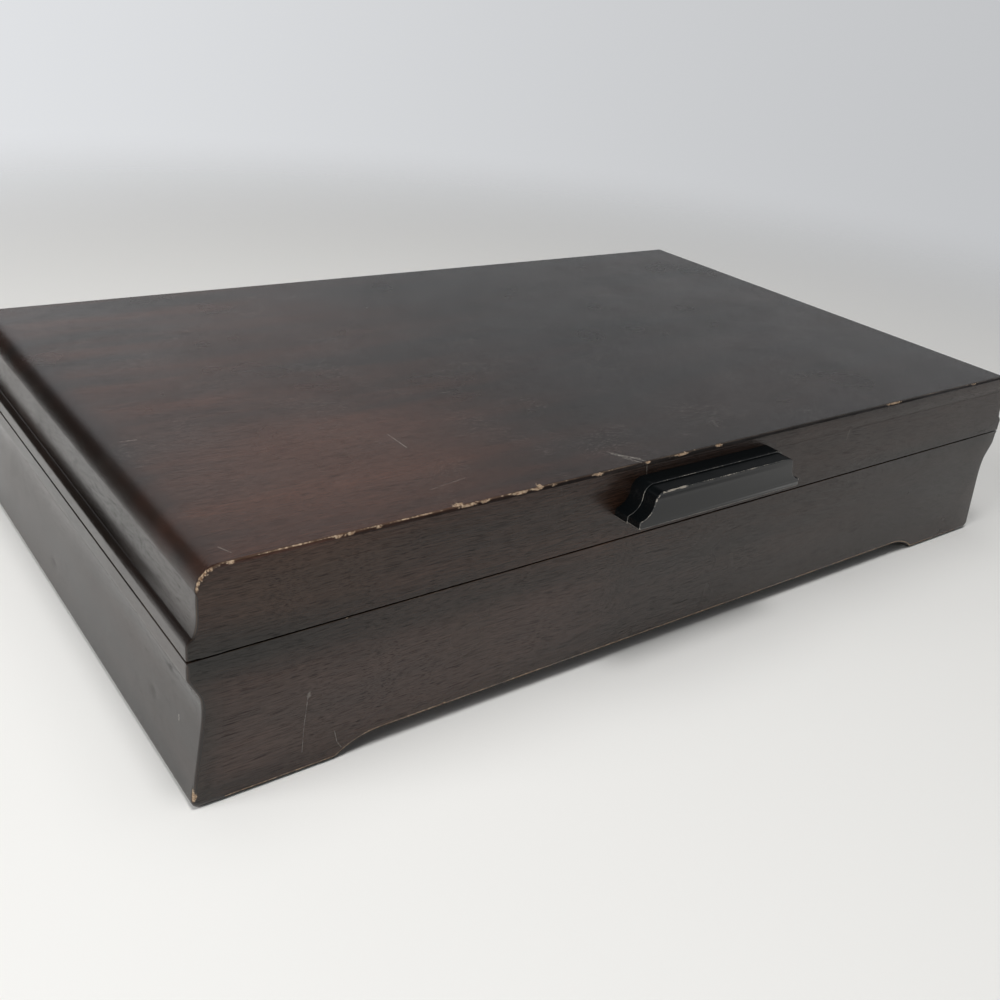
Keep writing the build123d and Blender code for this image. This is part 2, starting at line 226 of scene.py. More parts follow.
def solid(name, rings, material, body, node, worn=None, endMaterial=None, sharpAngle=32):
    # a closed skin over the rings, with an end face on the first and the last
    rows, columns = rings.shape[:2]
    i, j = np.meshgrid(np.arange(rows - 1), np.arange(columns), indexing="ij")
    near, far = i * columns, (i + 1) * columns
    following = (j + 1) % columns
    quads = np.stack([near + j, near + following, far + following, far + j], -1).reshape(-1, 4)
    points = rings.reshape(-1, 3) * mm
    # an end triangle runs round the opposite way to the outline, seen along the piece, on the first
    # ring, and the same way on the last
    spin = np.sign(turning(rings[0], np.arange(columns)[None]).sum())
    ends = []
    for row, way in ((0, 1), (rows - 1, -1)):
        ring = rings[row]
        cut = np.array(tessellate_polygon([[Vector(p) for p in ring]]))
        wrong = turning(ring, cut)[:, None] * spin * way > 0
        ends.append(np.where(wrong, cut[:, ::-1], cut) + row * columns)
    ends = np.vstack(ends)
    corners = np.vstack([quads[:, [0, 1, 2]], quads[:, [0, 2, 3]], ends])
    a, b, c = (points[corners[:, k]] for k in range(3))
    if np.sum(a * np.cross(b, c)) < 0:
        # the volume inside comes out negative, so the faces look inwards
        quads, ends = quads[:, ::-1], ends[:, ::-1]
    loops = np.concatenate([quads.ravel(), ends.ravel()]).astype(np.int32)
    starts = np.concatenate([np.arange(len(quads)) * 4, quads.size + np.arange(len(ends)) * 3])
    mesh = bpy.data.meshes.new(name)
    mesh.vertices.add(len(points))
    mesh.vertices.foreach_set("co", points.astype(np.float32).ravel())
    mesh.loops.add(len(loops))
    mesh.loops.foreach_set("vertex_index", loops)
    mesh.polygons.add(len(starts))
    mesh.polygons.foreach_set("loop_start", starts.astype(np.int32))
    mesh.update(calc_edges=True)
    mesh.polygons.foreach_set("use_smooth", np.arange(len(starts)) < len(quads))
    mesh.set_sharp_from_angle(angle=np.radians(sharpAngle))
    for key, wear in zip(("bare", "dirtAndShade"), () if worn is None else worn):
        # the end faces have no wear of their own: it stays on the arrises round them
        attribute = mesh.attributes.new(key, "FLOAT", "CORNER")
        values = np.concatenate([wear.ravel()[quads.ravel()], np.zeros(ends.size)])
        attribute.data.foreach_set("value", values.astype(np.float32))
    mesh.materials.append(material)
    if endMaterial is not None:
        mesh.materials.append(endMaterial)
        slots = np.repeat([0, 1], [len(quads), len(ends)]).astype(np.int32)
        mesh.polygons.foreach_set("material_index", slots)
    return linked(name, mesh, body, node)


def softened(name, node, material, body, width, mergeWithin=0.002, flatAngle=1, sharpAngle=35):
    # a copy of the CAD solid with its edges taken off, for pieces whose pockets and holes stay as
    # they are. Its triangles are merged into flat faces first, so that a bevel can run round them
    mesh = bpy.data.meshes.new(name)
    work = bmesh.new()
    work.from_mesh(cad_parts[node].data)
    bmesh.ops.remove_doubles(work, verts=work.verts, dist=mergeWithin * mm)
    bmesh.ops.dissolve_limit(work, angle_limit=np.radians(flatAngle), verts=work.verts,
                             edges=work.edges)
    bmesh.ops.recalc_face_normals(work, faces=work.faces)
    for face in work.faces:
        face.smooth = True
    work.to_mesh(mesh)
    work.free()
    mesh.materials.clear()
    mesh.materials.append(material)
    piece = linked(name, mesh, body, node)
    bevel = piece.modifiers.new("arris", "BEVEL")
    bevel.width, bevel.segments, bevel.limit_method = width * mm, 2, "ANGLE"
    bevel.angle_limit = np.radians(sharpAngle)
    piece.modifiers.new("flat faces", "WEIGHTED_NORMAL")
    return piece


# Materials

noiseLow, noiseHigh = 0.3, 0.7  # nearly all of a noise texture lies between these


def linear(hexColour):
    # sRGB hex to the linear values that the shaders take
    value = np.array([int(hexColour[i:i + 2], 16) for i in (1, 3, 5)]) / 255
    value = np.where(value <= 0.04045, value / 12.92, ((value + 0.055) / 1.055) ** 2.4)
    return (*map(float, value), 1.0)


def addNode(tree, kind, inputs=None, out=0, **settings):
    # one shader node with its settings, values and links; gives the output socket asked for
    node = tree.nodes.new("ShaderNode" + kind)
    for key, value in settings.items():
        setattr(node, key, value)
    for key, value in (inputs or {}).items():
        if isinstance(value, bpy.types.NodeSocket):
            tree.links.new(value, node.inputs[key])
        else:
            node.inputs[key].default_value = value
    return node.outputs[out] if node.outputs else None


def newMaterial(name):
    # an empty node material, what adds a node to it, and the place on the piece in millimetres
    material = bpy.data.materials.new(name)
    material.use_nodes = True
    material.node_tree.nodes.clear()
    add = partial(addNode, material.node_tree)
    place = add("TexCoord", out="Object")
    return material, add, add("VectorMath", {0: place, 3: 1 / mm}, operation="SCALE")


def lineMask(add, place, start, end, width):
    # 1 on a straight scratch and 0 beside it: the distance from the nearest point of the segment,
    # where the segment's own share t of that point is the place's projection on it
    start, way = Vector(start), Vector(end) - Vector(start)
    apart = add("VectorMath", {0: place, 1: start}, operation="SUBTRACT")
    t = add("VectorMath", {0: apart, 1: way / way.length_squared}, "Value", operation="DOT_PRODUCT")
    t = add("Clamp", {"Value": t})
    nearest = add("VectorMath", {0: tuple(way), 3: t}, operation="SCALE")
    gap = add("VectorMath", {0: apart, 1: nearest}, "Value", operation="DISTANCE")
    return add("MapRange", {0: gap, 1: width * 0.2, 2: width * 0.7, 3: 1.0, 4: 0.0})


woodLook = {
    # the last colour on the next line is dirt in dents and painted shade under lower edges and in creases
    "dark": "#221a15", "red": "#402b20", "pore": "#080605", "fleck": "#77706a", "dirtAndShade": "#120e0c",
    "bare": "#b8a38b", "bareDark": "#5a3b23", "scratch": "#8f8a82", "rubbed": "#7b6a58",
    # length along the grain and width across it, in millimetres
    "figureSize": (120, 14), "streakSize": (30, 0.5), "poreSize": (8.0, 0.17),
    "finePoreSize": (3.6, 0.11),
    "swaySize": 50, "sway": 5.0, "fleckPatch": 28, "cloudSize": 34, "fibreSize": 0.9,
    "streakDepth": 0.38, "poreCover": 0.54, "poreEdge": 0.09, "finePoreShare": 0.7,
    "poreDark": 0.62, "fleckShare": 0.0, "roughness": (0.2, 0.28), "bareRougher": 0.35, "ior": 1.46,
    # between which values of its noise each comes in: fine pores past the others, pale flecks and
    # their patches, the tones of bare wood, and gaps in a scratch
    "finePoreLater": 0.03, "fleckAt": (0.29, 0.36), "fleckPatchAt": (0.48, 0.66),
    "fibreTones": (0.36, 0.62), "scratchBreaks": (0.36, 0.6),
    # how much the lacquer mirrors, and how much it does where it is gone; a pore dulls it by a share
    "mirror": (0.5, 0.05), "poreDull": 0.6,
    # relief: its strength, its depth in millimetres, and how high streaks and pores stand in it
    "relief": (0.6, 0.05), "streakHeight": 0.3, "poreHeight": -0.5,
    # from which wear the stain is thin and where it is thinnest, its rubbed colour being partly a
    # painted highlight, how ragged bare wood's edge is, and from which wear it shows and is all bare
    "thin": (0.05, 0.5), "rubbedAndHighlightShare": 0.4, "ragged": 0.42, "bareAt": (0.42, 0.6),
    # the colour's drift along the chest: from, to, tone and share there
    "drift": (-90, 60, "#1f1915", 0.45), "patches": [],
    # share of its radii at which a patch starts to fade, and at which it is gone
    "patchEdge": (0.2, 1.2),
}
lacquerLook = {
    "black": "#090b0c", "rubbed": "#6a6c6b", "bare": "#958e84", "fibreSize": 0.6, "cloudSize": 5,
    "roughness": (0.12, 0.22), "bareRougher": 0.35, "ior": 1.5,
    "thin": (0.05, 0.4), "rubbedAndHighlightShare": 0.26, "ragged": 0.45, "bareAt": (0.42, 0.62),
    # from which upward part of the normal the top gets painted shade, and how much both faces mirror
    "shadedTopFrom": (0.3, 0.8), "mirror": (0.5, 0.03), "relief": (0.25, 0.03),
}


def wornFinish(add, place, look):
    # a noise as fine as the fibres, where the finish is rubbed thin with a painted highlight, and
    # where it is gone: bare is where the wear kept on the piece, with the noise added, passes a limit
    fibres = add("TexNoise", {"Vector": place, "Scale": 1 / look["fibreSize"],
                              "Detail": 3.0, "Roughness": 0.7})
    wear = add("Attribute", None, "Fac", attribute_name="bare")
    start, end = look["thin"]
    thin = add("MapRange", {0: wear, 1: start, 2: end, 3: 0.0, 4: look["rubbedAndHighlightShare"]})
    ragged = add("MapRange", {0: fibres, 1: 0.2, 2: 0.8, 3: -look["ragged"], 4: look["ragged"]})
    ragged = add("Math", {0: wear, 1: ragged}, operation="ADD")
    start, end = look["bareAt"]
    return fibres, thin, add("MapRange", {0: ragged, 1: start, 2: end})


def cloudyShine(add, place, bare, look):
    # clouds all over, and the roughness that follows them and is higher where the wood is bare
    cloudy = add("TexNoise", {"Vector": place, "Scale": 1 / look["cloudSize"], "Detail": 3.0})
    low, high = look["roughness"]
    shine = add("MapRange", {0: cloudy, 1: noiseLow, 2: noiseHigh, 3: low, 4: high})
    return cloudy, add("Math", {0: bare, 1: look["bareRougher"], 2: shine}, operation="MULTIPLY_ADD")


def layered(add, colour, layers):
    # a finish from the bottom up: each layer, a share and its colour, over the ones before
    for share, tone in layers:
        colour = add("Mix", {0: share, 6: colour, 7: tone}, 2, data_type="RGBA")
    return colour


def grainNoises(add, place, axis, look):
    # the place bent by a slow sway of the grain, and four noises on it that are drawn out along the
    # grain: figure, streaks, pores and fine pores
    sway = add("TexNoise", {"Vector": place, "Scale": 1 / look["swaySize"], "Detail": 1.0}, 1)
    sway = add("VectorMath", {0: sway, 1: (0.5, 0.5, 0.5)}, operation="SUBTRACT")
    bend = [0.0 if k == axis else look["sway"] for k in range(3)]
    grain = add("VectorMath", {0: sway, 1: bend, 2: place}, operation="MULTIPLY_ADD")
    drawn = []
    for key, detail in (("figure", 2.0), ("streak", 3.0), ("pore", 1.5), ("finePore", 1.0)):
        long, thin = look[key + "Size"]
        spread = [1 / long if k == axis else 1 / thin for k in range(3)]
        stretched = add("VectorMath", {0: grain, 1: spread}, operation="MULTIPLY")
        drawn.append(add("TexNoise", {"Vector": stretched, "Scale": 1.0, "Detail": detail}))
    return grain, drawn


def driftAndPatches(add, place, grain, look):
    # the colour drifts to another tone along the chest, and has patches with soft edges, each within
    # an ellipsoid: the share and colour of each
    across = add("SeparateXYZ", {0: place})
    start, end, tone, share = look["drift"]
    drift = add("MapRange", {0: across, 1: start, 2: end, 3: 0.0, 4: share},
                interpolation_type="SMOOTHSTEP")
    layers = [(drift, linear(tone))]
    start, end = look["patchEdge"]
    for centre, radii, tone, share in look["patches"]:
        away = add("VectorMath", {0: grain, 1: centre}, operation="SUBTRACT")
        away = add("VectorMath", {0: away, 1: radii}, operation="DIVIDE")
        away = add("VectorMath", {0: away}, "Value", operation="LENGTH")
        near = add("MapRange", {0: away, 1: start, 2: end, 3: share, 4: 0.0},
                   interpolation_type="SMOOTHSTEP")
        layers.append((near, linear(tone)))
    return layers


def openPores(add, place, pore, finePore, look):
    # where pores of both sizes lie open, and their dark colour. Filler dried pale in some of them
    cover, full = look["poreCover"], look["poreCover"] + look["poreEdge"]
    pore = add("MapRange", {0: pore, 1: cover, 2: full})
    later = look["finePoreLater"]
    shallow = add("MapRange", {0: finePore, 1: cover + later, 2: full + later,
                               3: 0.0, 4: look["finePoreShare"]})
    pore = add("Math", {0: pore, 1: shallow}, operation="MAXIMUM")
    sunk = add("Math", {0: pore, 1: look["poreDark"]}, operation="MULTIPLY")
    layers = [(sunk, linear(look["pore"]))]
    if look["fleckShare"]:
        patch = add("TexNoise", {"Vector": place, "Scale": 1 / look["fleckPatch"], "Detail": 2.0})
        start, end = look["fleckPatchAt"]
        patch = add("MapRange", {0: patch, 1: start, 2: end, 3: 0.0, 4: look["fleckShare"]})
        start, end = look["fleckAt"]
        pale = add("MapRange", {0: finePore, 1: start, 2: end, 3: 1.0, 4: 0.0})
        pale = add("Math", {0: pale, 1: patch}, operation="MULTIPLY")
        layers.append((pale, linear(look["fleck"])))
    return pore, layers


def scratched(add, place, fibres, scratches, look):
    # the strongest scratch at each place, broken up by the fibres
    mask = 0.0
    for start, end, width, strength in scratches:
        line = lineMask(add, place, start, end, width)
        line = add("Math", {0: line, 1: strength}, operation="MULTIPLY")
        mask = add("Math", {0: line, 1: mask}, operation="MAXIMUM")
    start, end = look["scratchBreaks"]
    broken = add("MapRange", {0: fibres, 1: start, 2: end})
    mask = add("Math", {0: mask, 1: broken}, operation="MULTIPLY")
    return [(mask, linear(look["scratch"]))]


def stainedWood(name, axis, look, scratches=()):
    # stained mahogany under satin lacquer: dark red brown, full of short open pores along the
    # grain, with a soft shine that turns grey at a flat angle
    material, add, place = newMaterial(name)
    grain, (figure, streak, pore, finePore) = grainNoises(add, place, axis, look)
    figure = add("MapRange", {0: figure, 1: noiseLow, 2: noiseHigh})
    colour = layered(add, linear(look["dark"]), [(figure, linear(look["red"]))])
    shade = add("MapRange", {0: streak, 1: noiseLow, 2: noiseHigh,
                             3: 1 - look["streakDepth"], 4: 1 + look["streakDepth"]})
    colour = add("VectorMath", {0: colour, 3: shade}, operation="SCALE")
    pore, poreTones = openPores(add, place, pore, finePore, look)
    fibres, thin, bare = wornFinish(add, place, look)
    start, end = look["fibreTones"]
    fibre = add("MapRange", {0: fibres, 1: start, 2: end})
    fibre = layered(add, linear(look["bareDark"]), [(fibre, linear(look["bare"]))])
    # this attribute darkens the wood: dirt in dents, and painted shade under the lower edges, in the
    # crease above the lid's bead and on the lower half of the top's front arris
    dirtAndShade = add("Attribute", None, "Fac", attribute_name="dirtAndShade")
    layers = driftAndPatches(add, place, grain, look) + poreTones
    if scratches:
        layers += scratched(add, place, fibres, scratches, look)
    # the rubbed colour is partly worn finish and partly a painted highlight along the arrises
    layers += [(thin, linear(look["rubbed"])), (bare, fibre), (dirtAndShade, linear(look["dirtAndShade"]))]
    colour = layered(add, colour, layers)
    _, shine = cloudyShine(add, place, bare, look)
    # open pores, dirt and painted shade, and bare wood mirror less than the lacquer between them
    dull = add("Math", {0: pore, 1: look["poreDull"]}, operation="MULTIPLY")
    dull = add("Math", {0: dull, 1: bare}, operation="MAXIMUM")
    dull = add("Math", {0: dull, 1: dirtAndShade}, operation="MAXIMUM")
    most, least = look["mirror"]
    mirror = add("MapRange", {0: dull, 3: most, 4: least})
    height = add("Math", {0: streak, 1: look["streakHeight"], 2: 0.0}, operation="MULTIPLY_ADD")
    height = add("Math", {0: pore, 1: look["poreHeight"], 2: height}, operation="MULTIPLY_ADD")
    strength, depth = look["relief"]
    relief = add("Bump", {"Strength": strength, "Distance": depth * mm, "Height": height})
    shader = add("BsdfPrincipled", {
        "Base Color": colour, "Roughness": shine, "IOR": look["ior"],
        "Specular IOR Level": mirror, "Normal": relief})
    add("OutputMaterial", {"Surface": shader})
    return material


def blackLacquer(name, look):
    # ebonised wood: near black, smooth and shiny in front, with painted shade on top where it mirrors
    # less, and grey bruises where it is knocked
    material, add, place = newMaterial(name)
    _, thin, bare = wornFinish(add, place, look)
    # the rubbed grey is partly worn lacquer and partly a painted highlight along the arrises
    layers = [(thin, linear(look["rubbed"])), (bare, linear(look["bare"]))]
    colour = layered(add, linear(look["black"]), layers)
    cloudy, shine = cloudyShine(add, place, bare, look)
    # faces that look up mirror less: painted shade on the top
    facing = add("TexCoord", out="Normal")
    facing = add("SeparateXYZ", {0: facing}, 2)
    (start, end), (most, least) = look["shadedTopFrom"], look["mirror"]
    mirror = add("MapRange", {0: facing, 1: start, 2: end, 3: most, 4: least})
    strength, depth = look["relief"]
    relief = add("Bump", {"Strength": strength, "Distance": depth * mm, "Height": cloudy})
    shader = add("BsdfPrincipled", {
        "Base Color": colour, "Roughness": shine, "IOR": look["ior"],
        "Specular IOR Level": mirror, "Normal": relief})
    add("OutputMaterial", {"Surface": shader})
    return material


flannelLook = {"light": "#5b3d2c", "dark": "#3a251a", "sheen": "#c9a98c", "napSize": 0.7,
               "napAt": (0.25, 0.75), "napShare": 0.55, "patchSize": 22, "patchShare": 0.45,
               "roughness": 0.95, "mirror": 0.2, "sheenWeight": 0.35, "sheenRoughness": 0.5,
               "relief": (0.8, 0.25)}


def flannel(name, look):
    # brushed cotton flannel: matt, with a short nap that catches light at a flat angle
    material, add, place = newMaterial(name)
    nap = add("TexNoise", {"Vector": place, "Scale": 1 / look["napSize"],
                           "Detail": 3.0, "Roughness": 0.7})
    patch = add("TexNoise", {"Vector": place, "Scale": 1 / look["patchSize"], "Detail": 3.0})
    start, end = look["napAt"]
    share = add("MapRange", {0: nap, 1: start, 2: end, 3: 0.0, 4: look["napShare"]})
    worn = add("MapRange", {0: patch, 1: noiseLow, 2: noiseHigh, 3: 0.0, 4: look["patchShare"]})
    share = add("Math", {0: share, 1: worn}, operation="ADD")
    colour = layered(add, linear(look["dark"]), [(share, linear(look["light"]))])
    strength, depth = look["relief"]
    relief = add("Bump", {"Strength": strength, "Distance": depth * mm, "Height": nap})
    shader = add("BsdfPrincipled", {
        "Base Color": colour, "Roughness": look["roughness"], "Specular IOR Level": look["mirror"],
        "Sheen Weight": look["sheenWeight"], "Sheen Roughness": look["sheenRoughness"],
        "Sheen Tint": linear(look["sheen"]), "Normal": relief})
    add("OutputMaterial", {"Surface": shader})
    return material


plainWoodLook = {"light": "#8d6a46", "dark": "#6f4f33", "pore": "#3b2819", "roughness": 0.7,
                 "streakSize": (60, 3, 0.8), "poreSize": (6, 0.5, 0.5), "poreAt": (0.58, 0.68),
                 "poreShare": 0.5, "relief": (0.5, 0.1)}


def plywood(name, look):
    # thin plywood, unfinished: pale brown with long soft grain and no shine
    material, add, place = newMaterial(name)
    spreads = [tuple(1 / size for size in look[key]) for key in ("streakSize", "poreSize")]
    drawn = add("VectorMath", {0: place, 1: spreads[0]}, operation="MULTIPLY")
    streak = add("TexNoise", {"Vector": drawn, "Scale": 1.0, "Detail": 4.0, "Roughness": 0.6})
    drawn = add("VectorMath", {0: place, 1: spreads[1]}, operation="MULTIPLY")
    pore = add("TexNoise", {"Vector": drawn, "Scale": 1.0, "Detail": 1.0})
    start, end = look["poreAt"]
    pore = add("MapRange", {0: pore, 1: start, 2: end, 3: 0.0, 4: look["poreShare"]})
    share = add("MapRange", {0: streak, 1: noiseLow, 2: noiseHigh})
    layers = [(share, linear(look["light"])), (pore, linear(look["pore"]))]
    colour = layered(add, linear(look["dark"]), layers)
    strength, depth = look["relief"]
    relief = add("Bump", {"Strength": strength, "Distance": depth * mm, "Height": streak})
    shader = add("BsdfPrincipled", {
        "Base Color": colour, "Roughness": look["roughness"], "Normal": relief})
    add("OutputMaterial", {"Surface": shader})
    return material


metalLook = {
    "brass": {"light": "#b8924a", "dark": "#6e5126", "roughness": 0.32},
    "steel": {"light": "#9a978f", "dark": "#57534c", "roughness": 0.38},
    "tarnishSize": 3.5, "tarnishAt": (0.35, 0.62), "rubSize": (8, 0.25, 0.25), "darkRougher": 0.18,
    "relief": (0.3, 0.02),
}


def agedMetal(name, look):
    # rolled sheet or turned pin, dulled by age: brown in the hollows, brighter where it rubs
    material, add, place = newMaterial(name)
    tarnish = add("TexNoise", {"Vector": place, "Scale": 1 / metalLook["tarnishSize"],
                               "Detail": 5.0, "Roughness": 0.65})
    spread = tuple(1 / size for size in metalLook["rubSize"])
    drawn = add("VectorMath", {0: place, 1: spread}, operation="MULTIPLY")
    rubbed = add("TexNoise", {"Vector": drawn, "Scale": 1.0, "Detail": 2.0})
    start, end = metalLook["tarnishAt"]
    share = add("MapRange", {0: tarnish, 1: start, 2: end})
    colour = layered(add, linear(look["dark"]), [(share, linear(look["light"]))])
    shine = add("MapRange", {0: tarnish, 1: noiseLow, 2: noiseHigh,
                             3: look["roughness"] + metalLook["darkRougher"],
                             4: look["roughness"]})
    strength, depth = metalLook["relief"]
    relief = add("Bump", {"Strength": strength, "Distance": depth * mm, "Height": rubbed})
    shader = add("BsdfPrincipled", {
        "Base Color": colour, "Metallic": 1.0, "Roughness": shine, "Normal": relief})
    add("OutputMaterial", {"Surface": shader})
    return material


# Scratches in the lacquer, in millimetres. On the top: start and end across and back from the front
# face, width, strength. On the front: start and end across and up, width, strength
topScratches = [((x0, frontY + y0, chestTop), (x1, frontY + y1, chestTop), width, strength)
                for x0, y0, x1, y1, width, strength in (
    (-113.6, 47.5, -113.9, 61.0, 0.4, 0.8), (-45.8, 13.5, -37.6, 0.9, 0.5, 0.8),
    (-45.6, 11.6, -41.6, 5.0, 0.8, 0.7), (-43.6, 9.6, -38.2, 3.6, 0.9, 0.7),
    (-43.9, 6.8, -40.0, 0.8, 0.5, 0.6), (-202.5, 91.8, -197.3, 91.4, 0.5, 0.6),
    (-207.4, 50.3, -207.8, 48.0, 0.6, 0.8), (-124.5, 14.9, -108.3, 17.6, 0.4, 0.35),
    (-202.0, 9.5, -200.0, 5.0, 0.5, 0.55), (17.7, 20.1, 14.4, 13.6, 0.5, 0.35),
    (-72.3, 88.6, -68.0, 88.2, 0.5, 0.35))]
frontScratches = [((x0, frontY, z0), (x1, frontY, z1), width, strength)
                  for x0, z0, x1, z1, width, strength in (
    (-176.5, 30.5, -177.7, 19.5, 0.3, 0.5), (-177.7, 19.5, -178.3, 8.4, 0.3, 0.28),
    (-176.0, 31.6, -176.1, 30.9, 1.5, 0.5), (-166.3, 12.6, -165.2, 7.6, 0.35, 0.55),
    (-165.2, 7.6, -163.5, 4.6, 0.35, 0.5), (86.3, 79.7, 85.4, 75.0, 0.5, 0.3),
    (-37.6, 86.4, -36.9, 82.0, 0.5, 0.6))]
endScratches = [((-213.4, frontY + 16.9, 25.3), (-213.4, frontY + 16.7, 24.1), 0.9, 1.0)]
# Patches of another tone: centre, radii, tone and share
frontLook = {**woodLook, "patches": [
    ((-175, frontY, 76), (50, 30, 18), "#4e3624", 0.4),
    ((-205, frontY, 57), (38, 30, 9), "#141510", 0.7),
    ((-120, frontY, 25), (240, 30, 30), "#4e423d", 0.5),
    ((-120, frontY, 51), (100, 30, 8), "#1b1a17", 0.5),
    ((-216, frontY, 30), (12, 30, 34), "#22231f", 0.6),
    ((60, frontY, 70), (90, 30, 16), "#35231a", 0.4),
]}
topLook = {**woodLook, "red": "#402519", "fleckShare": 0.55, "drift": (-150, 20, "#151716", 0.8),
           "patches": [
    ((-150, frontY + 45, chestTop), (80, 60, 30), "#5a3b2e", 0.5),
    ((-214, frontY + 120, chestTop), (14, 170, 30), "#15110f", 0.9),
    ((40, frontY + 30, chestTop), (120, 34, 30), "#2b211c", 0.5),
]}
endLook = {**woodLook, "dark": "#191614", "red": "#2a1f1a", "streakDepth": 0.2, "poreCover": 0.62,
           "roughness": (0.16, 0.24), "ior": 1.5, "drift": (-90, 60, "#1f1915", 0.0)}
woodAlongX = stainedWood("stained mahogany, grain along the chest", 0, woodLook)
woodFront = stainedWood("stained mahogany, front", 0, frontLook, frontScratches)
# the last two scratches of the front lie on the front edge of the top as well
woodTop = stainedWood("stained mahogany, top", 0, topLook, topScratches + frontScratches[-2:])
woodEnd = stainedWood("stained mahogany, grain across the chest", 1, endLook, endScratches)
lacquer = blackLacquer("ebonised wood", lacquerLook)
lining = flannel("brown flannel", flannelLook)
panelWood = plywood("plain plywood", plainWoodLook)
brass = agedMetal("aged brass sheet", metalLook["brass"])
steel = agedMetal("dull steel", metalLook["steel"])
print("materials made")

# Ends of base and lid

# the last three of each give the painted shade: its height, its reach and its share
baseEnd = {"lip": 6.9, "round": 3.5, "slopeIn": 3.2, "slopeDrop": 13.2, "waistIn": 4.4,
           "waistDrop": 19.4, "flareIn": 3.5, "flareHeight": 27.5, "footIn": 0.2,
           "footRound": 3.0, "arris": 0.4, "corner": 1.0, "frontFoot": 2.0, "footFade": 9,
           "inner": 0.03, "shadeAt": 0.0, "shadeReach": 1.1, "shadeShare": 0.9}
lidEnd = {"bead": 4.6, "beadIn": 2.1, "beadRise": 2.9, "coveRise": 7.1, "arris": 0.4,
          "corner": 0.7, "inner": 0.03, "shadeAt": 64.6, "shadeReach": 1.8, "shadeShare": 0.5}
# The round of the front corner as shares of the inner round and of the arris, how far out from the
# inner face it starts and over what width it grows, and how fast it grows from the parting line
endCorner = {"square": 0.6, "most": 0.9, "from": 0.2, "over": 3, "growth": 0.5}
# places from front to back: the one next to each round, the first and last of the even ones, step
endPlaces = {"rim": 2.4, "first": 5, "last": 4, "step": 3.0}
# wear of the arrises, and dents and chips: centre, radii, push, how bare and how dirty
endWear = {"share": 0.34, "power": 6, "uneven": (0.6, 0.5, 23.0)}
endMarks = {
    "base_left_end": [
        ((-215.8, frontY + 0.5, 5.9), (1.3, 1.2, 1.6), (0.4, 0.4, 0), 0.9, 0),
        ((-215.0, frontY + 0.7, 4.0), (1.3, 1.0, 1.0), (0.2, 0.3, 0.1), 0.8, 0),
        ((-212.0, frontY + 26.4, 38.3), (1.6, 1.7, 1.5), (0.4, 0, 0), 0, 0.6),
        ((-213.5, frontY + 38.3, 21.5), (1.6, 1.5, 1.3), (0.4, 0, 0), 0, 0.45),
        ((-214.6, frontY + 148, 14.0), (1.6, 3.0, 1.6), (0.3, 0, 0), 0, 0.5),
    ],
    "lid_left_end": [((-214.6, frontY + 0.2, 57.6), (2.2, 1.4, 1.0), (0.4, 0.4, 0.2), 0.6, 0)],
}


def baseEndOutline(s):
    # inner foot, rounded outer foot, flare, waist, slope, straight lip, and back down the inside
    foot = (lipX - s["footIn"], s["footRound"])
    flare = (lipX - s["flareIn"], s["flareHeight"])
    waist = (lipX - s["waistIn"], partingZ - s["waistDrop"])
    slope = (lipX - s["slopeIn"], partingZ - s["slopeDrop"])
    corner = np.array((lipX, baseTop - s["lip"]))
    down = unit(slope - corner)
    setBack = s["round"] * np.tan(np.arccos(-down[1]) / 2)
    roundLow, roundHigh = corner + down * setBack, corner + np.array((0, setBack))
    footStart = (lipX - s["footIn"] - s["footRound"], 0)
    rising = np.array(flare) - np.array(foot)
    return np.vstack([
        roundedCorner((innerX, baseTop), (innerX, 0), footStart, s["inner"], worn=False),
        straight((innerX + s["inner"], 0), footStart),
        arc(footStart, (1, 0), foot, 10),
        straight(foot, flare),
        curveThrough([flare, waist, slope], [rising, -down]),
        straight(slope, roundLow, 0.6),
        arc(roundLow, -down, roundHigh, 8, worn=True),
        straight(roundHigh, (lipX, baseTop - s["arris"]), 1.0),
        roundedCorner((lipX, 0), (lipX, baseTop), (innerX, baseTop), s["arris"]),
        straight((lipX - s["arris"], baseTop), (innerX + s["inner"], baseTop)),
        roundedCorner((lipX, baseTop), (innerX, baseTop), (innerX, 0), s["inner"], worn=False),
        straight((innerX, baseTop - s["inner"]), (innerX, s["inner"]), 6.0),
    ])


def lidEndOutline(s):
    # bead at the parting line, its round top, the cove and the upright wall
    beadTop = (lipX, lidBottom + s["bead"])
    coveFoot = (lipX - s["beadIn"], beadTop[1] + s["beadRise"])
    coveTop = (wallX, coveFoot[1] + s["coveRise"])
    # the cove is drawn from its top, where it is upright, and then turned round
    cove = np.vstack([[(*coveFoot, 0.0)], arc(coveTop, (0, -1), coveFoot, 14)[:0:-1]])
    inner = (innerX, lidBottom)
    return np.vstack([
        roundedCorner((innerX, topUnder), inner, (lipX, lidBottom), s["inner"], worn=False),
        straight((innerX + s["inner"], lidBottom), (lipX - s["arris"], lidBottom)),
        roundedCorner(inner, (lipX, lidBottom), beadTop, s["arris"]),
        straight((lipX, lidBottom + s["arris"]), beadTop, 1.0),
        arc(beadTop, (0, 1), coveFoot, 10),
        cove,
        straight(coveTop, (wallX, topUnder), 1.0),
        straight((wallX, topUnder), (innerX, topUnder)),
        straight((innerX, topUnder), (innerX, lidBottom + s["inner"]), 6.0),
    ])


